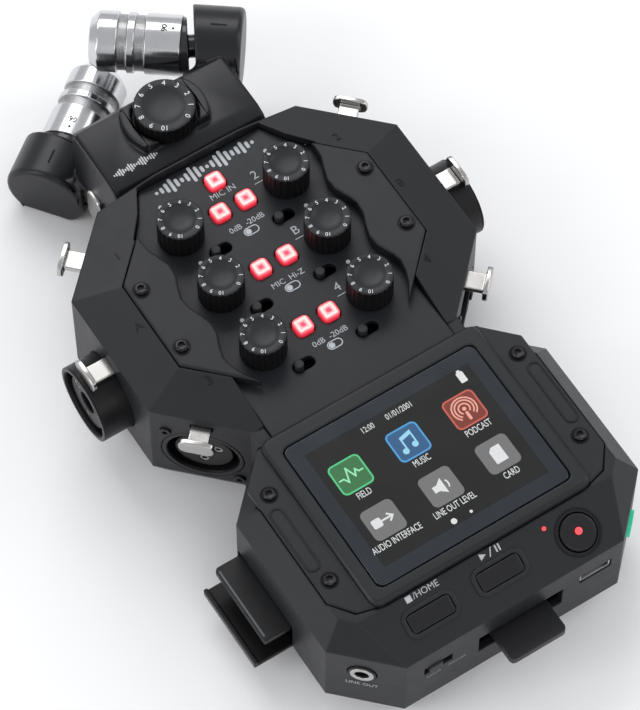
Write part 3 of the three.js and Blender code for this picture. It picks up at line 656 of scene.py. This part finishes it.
def arc(radius, start, end, width, steps=14):
    """Outline of a curved stroke about the origin."""
    turn = [math.radians(start + (end - start) * i / steps) for i in range(steps + 1)]
    out, back = radius + width / 2, radius - width / 2
    return ([(out * math.cos(t), out * math.sin(t)) for t in turn]
            + [(back * math.cos(t), back * math.sin(t)) for t in reversed(turn)])


TILE = soft_box(9.2, 9.2, 1.5)
TILE_INNER = soft_box(8.3, 8.3, 1.1)
COLUMNS = (6.9, 24.0, 41.0)
TOP_ROW, TOP_WORDS, LOW_ROW, LOW_WORDS = 10.8, 17.0, 25.7, 31.9
TRACE = ((-3.4, -0.2), (-2.2, -0.2), (-1.4, -1.6), (-0.3, 2.2),
         (0.9, -0.9), (1.7, 0.9), (2.3, -0.1), (3.4, -0.1))
NOTE = ((-1.5, -1.9), (-1.05, -1.9), (-1.05, 1.1), (1.6, 1.7),
        (1.6, -1.3), (2.05, -1.3), (2.05, 2.9), (-1.5, 2.1))
COLOUR_TILES = {  # face, edge and glyph colours
    "wave": ((0.06, 0.30, 0.10), (0.10, 0.72, 0.28), (0.35, 0.9, 0.5)),
    "note": ((0.04, 0.18, 0.42), (0.08, 0.42, 0.85), (0.35, 0.72, 1.0)),
    "waves_out": ((0.36, 0.05, 0.03), (0.72, 0.13, 0.09), (1.0, 0.42, 0.32)),
}
for across, (name, (face, edge, glyph)) in zip(COLUMNS, COLOUR_TILES.items()):
    dress(shown(plate([TILE_INNER]), across, TOP_ROW), f"menu_{name}_face", "main_unit", "screen",
          lamp_ink(f"menu_{name}_face", face, 0.55))
    dress(shown(plate([TILE, TILE_INNER]), across, TOP_ROW, 0.01), f"menu_{name}_edge", "main_unit",
          "screen", lamp_ink(f"menu_{name}_edge", edge, 0.8))
    if name == "wave":
        strokes = [plate([bar(*a, *b, 0.42)]) for a, b in zip(TRACE, TRACE[1:])]
    elif name == "note":
        strokes = [plate([NOTE]), plate([ring(0.85, -1.85, -1.95)]), plate([ring(0.85, 1.25, -1.35)])]
    else:
        strokes = [plate([ring(0.55, 0, 0.3)]), plate([soft_box(0.8, 2.6, 0.35, 0, -1.9)])]
        strokes += [put(plate([arc(r, -50, 230, 0.42)]), 0, 0.3, 0) for r in (1.5, 2.5, 3.3)]
    dress(shown(joined(strokes), across, TOP_ROW, 0.04), f"menu_{name}_glyph", "main_unit", "screen",
          lamp_ink(f"menu_{name}_glyph", glyph, 0.9))

grey_glow = lamp_ink("menu_grey", (0.22, 0.22, 0.22), 0.75)
white_glow = lamp_ink("menu_white", (0.85, 0.87, 0.88), 0.85)
for across, name in zip(COLUMNS, ("link", "sound", "card")):
    dress(shown(plate([TILE]), across, LOW_ROW), f"menu_{name}_face", "main_unit", "screen", grey_glow)
    if name == "link":
        strokes = [plate([soft_box(2.6, 2.6, 0.5, -1.9, 0)]), plate([bar(-0.6, 0, 2.6, 0, 0.5)]),
                   plate([bar(1.6, 1.0, 2.7, 0.0, 0.5)]), plate([bar(1.6, -1.0, 2.7, 0.0, 0.5)])]
    elif name == "sound":
        strokes = [plate([[(-2.2, -0.9), (-0.9, -0.9), (0.9, -2.3), (0.9, 2.3), (-0.9, 0.9), (-2.2, 0.9)]]),
                   plate([arc(2.1, -32, 32, 0.4)])]
    else:
        strokes = [plate([[(-1.7, -2.4), (1.7, -2.4), (1.7, 2.4), (-0.7, 2.4), (-1.7, 1.4)]])]
    dress(shown(joined(strokes), across, LOW_ROW, 0.04), f"menu_{name}_glyph", "main_unit",
          "screen", white_glow)

WORD_ROWS = {TOP_WORDS: ("FIELD", "MUSIC", "PODCAST"),
             LOW_WORDS: ("AUDIO INTERFACE", "LINE OUT LEVEL", "CARD")}
texts = [shown(lettering(word, 2.7, squeeze=0.62), across, down)
         for down, words in WORD_ROWS.items() for across, word in zip(COLUMNS, words)]
texts += [shown(lettering(word, 2.4, squeeze=0.72), across, 2.1)
          for word, across in (("12:00", 17.5), ("01/01/2001", 26.9))]
# the two page dots, then the battery sign's case and its small cap
texts += [shown(plate([ring(0.8)]), 21.4, 35.4), shown(plate([ring(0.42)]), 26.5, 35.4),
          shown(plate([soft_box(1.9, 3.2, 0.3)]), 45.5, 2.6),
          shown(plate([soft_box(0.9, 0.6, 0.1)]), 45.5, 0.75)]
dress(joined(texts), "menu_words", "main_unit", "screen", white_glow)


# ---------------------------------------------------------------- transport keys
# Two long hard-capped keys in moulded collars and a round record key with a
# red lamp under its centre, all on the sloping front of the lower deck.
SLOPE = Matrix.Rotation(math.radians(27.06), 4, "X")
REC_KEY = (22.9, -67.0)
LEGEND_Y = -60.9


def on_slope(piece, x, y, lift):
    """Lays a flat piece on the sloping front at a height above it, in mm."""
    return put(piece, x, y, 34.1 + (y + 73.7) * 0.5108 + lift, 0, SLOPE)


key_cap = moulded("key_cap", (0.0085, 0.0088, 0.0105), rough=0.38, grain=0.15)
collar = moulded("key_collar", (0.0150, 0.0158, 0.0185), rough=0.38, grain=0.15)
for name, x, y in (("stop_key", -20.4, -66.2), ("play_key", 0.2, -66.0)):
    dress(radiused(name, 0.55, steps=3), f"{name}_cap", name, "dark_plastic", key_cap)
    rim = plate([soft_box(15.0, 7.4, 2.4), soft_box(13.1, 5.6, 1.6)], 0.3, 0.12)
    dress(on_slope(rim, x, y, 0.1), f"{name}_collar", "main_unit", "shell", collar)
dress(radiused("rec_key", 0.5, steps=3), "rec_key_cap", "rec_key", "dark_plastic", key_cap)
rim = plate([ring(6.15, sides=48), ring(5.75, sides=48)], 0.3, 0.1)
dress(on_slope(rim, *REC_KEY, 0.02), "rec_key_collar", "main_unit", "shell", slot_black)
red_glow = lamp_ink("red_lamp", (1.0, 0.05, 0.06), 2.0)
lamp = cylinder(0.95, 0.5, 24)
select_faces(lamp, lambda c, n: n.z > 0.9)
bpy.ops.mesh.inset(thickness=0.35 * MM)
bpy.ops.transform.translate(value=(0, 0, 0.15 * MM))
lamp = finish_edges(lamp, 0.12)
dress(on_slope(lamp, *REC_KEY, 0.75), "rec_key_lamp", "rec_key", "lit_key", red_glow)
lamp = finish_edges(cylinder(0.55, 0.5, 20), 0.15)
dress(on_slope(lamp, 15.5, -62.4, -0.2), "record_indicator", "main_unit", "lit_key", red_glow)
stop_mark, play_mark = soft_box(1.7, 1.7, 0.1), [(-1.0, -0.9), (0.8, 0), (-1.0, 0.9)]
stroke, pause_bar = bar(-0.5, -1.0, 0.5, 1.0, 0.28), bar(0, -0.7, 0, 0.7, 0.45)
marks = [on_slope(plate([stop_mark]), -23.6, LEGEND_Y, 0.05),
         on_slope(lettering("/HOME", 2.4), -18.6, LEGEND_Y, 0.05)]
marks += [on_slope(plate([sign]), x, LEGEND_Y, 0.05)
          for sign, x in ((play_mark, -1.6), (stroke, 0.5), (pause_bar, 2.2), (pause_bar, 3.1))]
dress(joined(marks), "transport_legends", "main_unit", "panel", printed("slope_ink", (0.5, 0.52, 0.54)))


# ---------------------------------------------------------------- finger recesses
# Long shallow grips sunk into both wings of the display frame, with a fine
# raised lip round a coarsely grained floor.
recess_plastic = moulded("recess_plastic", (0.0085, 0.0088, 0.0105), rough=0.45, grain=0.5, grain_mm=0.5)
for side, name in ((-1, "left"), (1, "right")):
    lip = plate([soft_box(3.8, 20.0, 1.8), soft_box(3.1, 19.3, 1.5)], 0.3, 0.1)
    floor = put(plate([soft_box(3.1, 19.3, 1.5)], 0.05), 0, 0, -0.08)
    dress(put(joined([lip, floor]), side * 38.6, -32.4, WING_TOP + 0.02), f"{name}_finger_recess", "main_unit",
          "dark_plastic", recess_plastic)


# ---------------------------------------------------------------- shoulder numbers
# Channel numbers sunk into the sloping shoulders of the upper shell, each
# one above its microphone input, drawn as thin plates in painted shade for their sunk strokes.
SHOULDER = math.radians(15.9)
WALL = math.sqrt(0.5)
shoulder_marks = []
for side, names in ((-1, ("1", "A", "3")), (1, ("2", "B", "4"))):
    places = ((33.6, 60.6, 41.87, (side * WALL, WALL)), (39.9, 39.7, 42.17, (side, 0)),
              (33.0, 16.7, 42.42, (side * WALL, -WALL)))
    for label, (x, y, z, (ox, oy)) in zip(names, places):
        lean = wall_frame((ox * math.sin(SHOULDER), oy * math.sin(SHOULDER), math.cos(SHOULDER)), (0, 1, 0))
        shoulder_marks.append(put(lettering(label, 3.6, 0.1), side * x, y, z + 0.03, 0, lean))
# painted shade: the numbers are painted darker than the shell for the shade in their sunk strokes
dress(joined(shoulder_marks), "shoulder_numbers", "main_unit", "shell",
      moulded("sunk_letter_shade", (0.0065, 0.0068, 0.0080), rough=0.5, grain=0.3))


# ---------------------------------------------------------------- microphone inputs
# Four XLR sockets in the corner walls and two combination sockets standing
# out of the sides: black nylon faces with nickel contacts, each with a
# bright nickel-plated press tab over it.
def plated(name, colour=(0.50, 0.49, 0.475), rough=0.18):
    """Bright plate: fine polishing scratches, small smudges, softer where handled."""
    metal = bpy.data.materials.new(name)
    metal.use_nodes = True
    tree = metal.node_tree
    shader = tree.nodes["Principled BSDF"]
    place = tree.nodes.new("ShaderNodeTexCoord").outputs["Object"]
    stretch = shader_node(tree, "Mapping", Vector=place, Scale=(6.0, 1.0, 0.6), Rotation=(0, 0, 0.5))
    scratch = shader_node(tree, "TexNoise", Vector=stretch.outputs[0],
                          Scale=1800.0, Detail=4.0, Roughness=0.7)
    smudge = shader_node(tree, "TexNoise", Vector=place, Scale=220.0, Detail=3.0)
    tone = shader_node(tree, "Mix", {"data_type": "RGBA"}, _0=smudge.outputs["Fac"],
                       _6=(*[c * 0.86 for c in colour], 1), _7=(*[min(1, c * 1.08) for c in colour], 1))
    tree.links.new(tone.outputs[2], shader.inputs["Base Color"])
    spread = shader_node(tree, "MapRange", Value=smudge.outputs["Fac"],
                         To_Min=rough - 0.06, To_Max=rough + 0.12)
    tree.links.new(spread.outputs[0], shader.inputs["Roughness"])
    soft = shader_node(tree, "Bevel", {"samples": 4}, Radius=0.0003)
    bump = shader_node(tree, "Bump", Height=scratch.outputs["Fac"], Strength=0.08, Distance=0.00001,
                       Normal=soft.outputs[0])
    tree.links.new(bump.outputs[0], shader.inputs["Normal"])
    shader.inputs["Metallic"].default_value = 1.0
    return metal


nickel = plated("nickel_plate")
socket_nylon = moulded("socket_nylon", (0.0055, 0.0055, 0.0065), rough=0.38, grain=0.2)
INPUTS = {"1": (-40.15, 66.35, -WALL, WALL), "3": (-40.15, 9.05, -WALL, -WALL), "a": (-49.8, 38, -1, 0),
          "2": (40.15, 66.35, WALL, WALL), "4": (40.15, 9.05, WALL, -WALL), "b": (49.8, 38, 1, 0)}
SOCKET_Z = 21.5
for channel, (x, y, ox, oy) in INPUTS.items():
    combo = channel in "ab"
    node = f"{'combo' if combo else 'xlr'}_socket_{channel}"
    dress(radiused(node, 0.2), f"{node}_face", "main_unit", "dark_plastic", socket_nylon)
    out = 8.4 if combo else -0.4
    lean = wall_frame((ox, oy, 0))
    contacts = []
    for angle in (25, 155, 270):
        reach = 5.4 if combo else 4.1
        shift = reach * math.cos(math.radians(angle))
        rise = reach * math.sin(math.radians(angle))
        depth = out - 1.2
        contacts.append(put(plate([ring(1.22), ring(0.7)], 0.5), x + ox * depth - oy * shift,
                            y + oy * depth + ox * shift, SOCKET_Z + rise, 0, lean))
    dress(joined(contacts), f"socket_contacts_{channel}", "main_unit", "nickel", nickel)
    bezel = plate([ring(10.7, sides=64), ring(9.75, sides=64)], 0.3, 0.12)
    dress(put(bezel, x + ox * (out + 0.12), y + oy * (out + 0.12), SOCKET_Z, 0, lean),
          f"socket_rim_{channel}", "main_unit", "dark_plastic", key_cap)
    if not combo:
        screws = [put(socket_screw(1.6, 0.9, 0.8), x - oy * s + ox * -0.45, y + ox * s + oy * -0.45,
                      SOCKET_Z + (9.2 if s < 0 else -9.2), 15, lean) for s in (-9.6, 9.6)]
        dress(joined(screws), f"flange_screws_{channel}", "main_unit", "steel", black_steel)
    dress(radiused(f"latch_tab_{channel}", 0.35, steps=3), f"press_tab_{channel}", f"latch_tab_{channel}",
          "nickel", nickel)


# ---------------------------------------------------------------- front edge
# Power slider, USB port and adapter bay in the front edge, a plain plug-in
# wireless adapter, and 3.5 mm jacks in both front corners, a metal ring on the left one and a green ring on the
# right one.
dress(radiused("power_slider", 0.25), "power_slider_cap", "power_slider", "dark_plastic", peg_plastic)
carried("usb_port", plated("port_shell", (0.6, 0.6, 0.6), 0.25))
JACK_X, JACK_Y = 40.2, -65.9


def on_corner(piece, side, out, z):
    """Sets a flat piece on the left (-1) or right (1) front corner wall, out from it."""
    return put(piece, side * (JACK_X + out * WALL), JACK_Y - out * WALL, z, 0,
               wall_frame((side * WALL, -WALL, 0)))


dress(radiused("line_out_jack", 0.2), "line_out_nut", "main_unit", "dark_plastic", socket_nylon)
ferrule = plate([ring(2.95, sides=40), ring(1.95, sides=32)], 0.3, 0.1)
dress(on_corner(ferrule, -1, 0.4, 26), "line_out_ferrule", "main_unit", "nickel", nickel)
dress(radiused("phone_jack", 0.2), "phone_nut", "main_unit", "dark_plastic", socket_nylon)
lens = plate([ring(3.5, sides=40), ring(2.1, sides=32)], 0.9, 0.15)
dress(on_corner(lens, 1, 0.35, 22), "phone_ring", "main_unit", "lit_key",
      lamp_ink("green_lens", (0.02, 0.62, 0.36), 0.7))
dress(radiused("wireless_adapter", 0.3), "adapter_case", "wireless_adapter", "dark_plastic",
      moulded("adapter_plastic", (0.0115, 0.0118, 0.0130), rough=0.42, grain=0.3))
jack_words = put(lettering("LINE OUT", 1.9), -40.4, -66.1, 20.2, 0, wall_frame((-WALL, -WALL, 0.06)))
dress(jack_words, "line_out_legend", "main_unit", "panel", printed("corner_ink", (0.4, 0.42, 0.44)))
sill = wall_frame((0, -1, 0))
marks = [put(lettering(word, 1.5), x, -73.72, 21.0, 0, sill) for word, x in (("HOLD", -24.0), ("POWER", -17.0))]
dress(joined(marks), "front_legends", "main_unit", "panel", printed("front_ink", (0.3, 0.31, 0.33)))


# ---------------------------------------------------------------- memory card
# A full-size memory card half drawn from its slot and the tray-shaped flap
# that closes the slot, hinged on a moulded rod along its lower edge.
dress(radiused("sd_card", 0.3), "memory_card", "sd_card", "card_plastic",
      moulded("card_case", (0.0105, 0.0108, 0.0118), rough=0.36, grain=0.2))
edge_strip = plate([soft_box(0.5, 21.5, 0.2)], 0.06)
card_low, card_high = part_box("sd_card")
dress(put(edge_strip, card_low.x / MM + 0.8, (card_low.y + card_high.y) / 2 / MM, card_high.z / MM + 0.02),
      "card_label_edge", "sd_card", "card_plastic", printed("card_ink", (0.16, 0.17, 0.18)))
dress(radiused("sd_cover", 0.3), "card_flap", "sd_cover", "dark_plastic",
      moulded("flap_plastic", (0.0065, 0.0065, 0.0075), rough=0.35, grain=0.15))


# ---------------------------------------------------------------- microphone capsule
# Plug-in crossed-pair capsule: a glossy-satin housing with two round ears,
# a guarded level dial and two turning microphones in bright turned metal.
dress(radiused("capsule_body", 0.6, steps=3), "capsule_housing", "capsule_body", "shell",
      moulded("capsule_plastic", (0.0115, 0.0120, 0.0140), rough=0.32, grain=0.12))
DIAL_CENTRE = (0.0, 92.1)
DIAL_FOOT, DIAL_TOP, DIAL_RIM = 38.3, 44.0, 5.9
dial = put(ribbed_knob(8.25, DIAL_TOP - DIAL_FOOT, DIAL_RIM, 0.9, 32), *DIAL_CENTRE, DIAL_FOOT)
dress(dial, "dial_cap", "capsule_dial", "knob_plastic", knob_finish("dial_plastic", *DIAL_CENTRE, DIAL_RIM))
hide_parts("capsule_dial")
dress(put(dial_numbers(6.95, 2.1), *DIAL_CENTRE, DIAL_TOP + 0.01), "dial_numbers", "capsule_dial",
      "knob_plastic", white_ink)
# the same generic sound-level pictogram, small, where a badge would be
marks = [put(plate([soft_box(0.42, level * 0.34, 0.2)]), -20.6 + i * 0.68, 83.8, 38.04)
         for i, level in enumerate(LEVELS)]
dress(joined(marks), "capsule_mark", "capsule_body", "panel", printed("capsule_ink", (0.6, 0.62, 0.64)))

for side, name in ((-1, "left"), (1, "right")):
    button = put(plate([soft_box(6.4, 11.0, 1.6)], 1.0, 0.35), side * 23.7, 89.9, 16.2, 0,
                 wall_frame((side, 0, 0)))
    dress(button, f"release_button_{name}", "capsule_body", "nickel", nickel)

MIC_R, EAR_R = 8.3, 11.5
MIC_SLOTS = ((11.4, 14.2), (16.3, 18.9))
MIC_COLLAR = 1.72


def mic_metal(name, base, heading):
    """Turned bright tube; wire mesh in the two ring slots, black collar at the joint."""
    metal = bpy.data.materials.new(name)
    metal.use_nodes = True
    tree = metal.node_tree
    shader = tree.nodes["Principled BSDF"]
    place = tree.nodes.new("ShaderNodeTexCoord").outputs["Object"]
    turn = Matrix.Rotation(-heading, 3, "Z")
    shift = -(turn @ (Vector(base) * MM))
    along = shader_node(tree, "Mapping", Vector=place, Rotation=(0, 0, -heading), Location=tuple(shift))
    axes = shader_node(tree, "SeparateXYZ", Vector=along.outputs[0])

    def between(low, high):
        over = shader_node(tree, "Math", {"operation": "GREATER_THAN"}, _0=axes.outputs["X"], _1=low * MM)
        under = shader_node(tree, "Math", {"operation": "LESS_THAN"}, _0=axes.outputs["X"], _1=high * MM)
        both = shader_node(tree, "Math", {"operation": "MULTIPLY"}, _0=over.outputs[0], _1=under.outputs[0])
        return both.outputs[0]

    slots = [between(low, high) for low, high in MIC_SLOTS]
    mesh = shader_node(tree, "Math", {"operation": "ADD"}, _0=slots[0], _1=slots[1]).outputs[0]
    angle = shader_node(tree, "Math", {"operation": "ARCTAN2"}, _0=axes.outputs["Z"], _1=axes.outputs["Y"])
    round_wave = shader_node(tree, "Math", {"operation": "MULTIPLY"}, _0=angle.outputs[0], _1=90.0)
    along_wave = shader_node(tree, "Math", {"operation": "MULTIPLY"}, _0=axes.outputs["X"], _1=11000.0)
    plus = shader_node(tree, "Math", {"operation": "SINE"}, _0=round_wave.outputs[0])
    cross = shader_node(tree, "Math", {"operation": "SINE"}, _0=along_wave.outputs[0])
    weave = shader_node(tree, "Math", {"operation": "MULTIPLY"}, _0=plus.outputs[0], _1=cross.outputs[0])
    wires = shader_node(tree, "MapRange", Value=weave.outputs[0], From_Min=-0.5, From_Max=0.5)
    squeeze = shader_node(tree, "Mapping", Vector=along.outputs[0], Scale=(6000.0, 40.0, 40.0))
    rings = shader_node(tree, "TexNoise", Vector=squeeze.outputs[0], Scale=1.0, Detail=3.0)
    cloud = shader_node(tree, "TexNoise", Vector=place, Scale=180.0, Detail=4.0)
    bright = shader_node(tree, "Mix", {"data_type": "RGBA"}, _0=cloud.outputs["Fac"],
                         _6=(0.56, 0.57, 0.59, 1), _7=(0.72, 0.72, 0.73, 1))
    wire = shader_node(tree, "Mix", {"data_type": "RGBA"}, _0=wires.outputs[0],
                       _6=(0.10, 0.10, 0.11, 1), _7=(0.60, 0.60, 0.61, 1))
    tube = shader_node(tree, "Mix", {"data_type": "RGBA"}, _0=mesh, _6=bright.outputs[2], _7=wire.outputs[2])
    collar_zone = shader_node(tree, "Math", {"operation": "LESS_THAN"},
                              _0=axes.outputs["X"], _1=MIC_COLLAR * MM)
    tone = shader_node(tree, "Mix", {"data_type": "RGBA"}, _0=collar_zone.outputs[0],
                       _6=tube.outputs[2], _7=(0.02, 0.02, 0.022, 1))
    tree.links.new(tone.outputs[2], shader.inputs["Base Color"])
    metal_part = shader_node(tree, "Math", {"operation": "SUBTRACT"}, _0=1.0, _1=collar_zone.outputs[0])
    tree.links.new(metal_part.outputs[0], shader.inputs["Metallic"])
    spread = shader_node(tree, "MapRange", Value=rings.outputs["Fac"], To_Min=0.10, To_Max=0.26)
    tree.links.new(spread.outputs[0], shader.inputs["Roughness"])
    relief = shader_node(tree, "Math", {"operation": "MULTIPLY"}, _0=wires.outputs[0], _1=mesh)
    height = shader_node(tree, "Math", {"operation": "MULTIPLY_ADD"}, _0=rings.outputs["Fac"], _1=0.08,
                         _2=relief.outputs[0])
    bump = shader_node(tree, "Bump", Height=height.outputs[0], Strength=0.5, Distance=0.00008)
    tree.links.new(bump.outputs[0], shader.inputs["Normal"])
    return metal


MICS = {"right": ((19.93, 113.12, 29.0), math.radians(143)),
        "left": ((-19.93, 113.12, 8.75), math.radians(37))}
dark_ink = printed("dark_ink", (0.02, 0.02, 0.022))
for side, (base, heading) in MICS.items():
    dress(radiused(f"mic_{side}", 0.3, steps=3), f"mic_{side}_tube", f"mic_{side}", "mic_metal",
          mic_metal(f"turned_mic_{side}", base, heading))
    aim = Vector((math.cos(heading), math.sin(heading), 0))
    turn = math.degrees(heading) - 90

    def on_top(piece, along, radius):
        spot = Vector(base) + aim * along
        return put(piece, spot.x, spot.y, spot.z + radius, turn)

    scale = [on_top(lettering("90", 2.3, 0.06), 6.2, MIC_R + 0.09),
             on_top(plate([ring(0.38)], 0.06), 3.9, MIC_R + 0.02)]
    dress(joined(scale), f"mic_{side}_scale", f"mic_{side}", "mic_metal", dark_ink)
    dress(on_top(plate([soft_box(0.55, 4.4, 0.25)], 0.08), -8.4, EAR_R), f"ear_pointer_{side}",
          "capsule_body", "dark_plastic", slot_black)
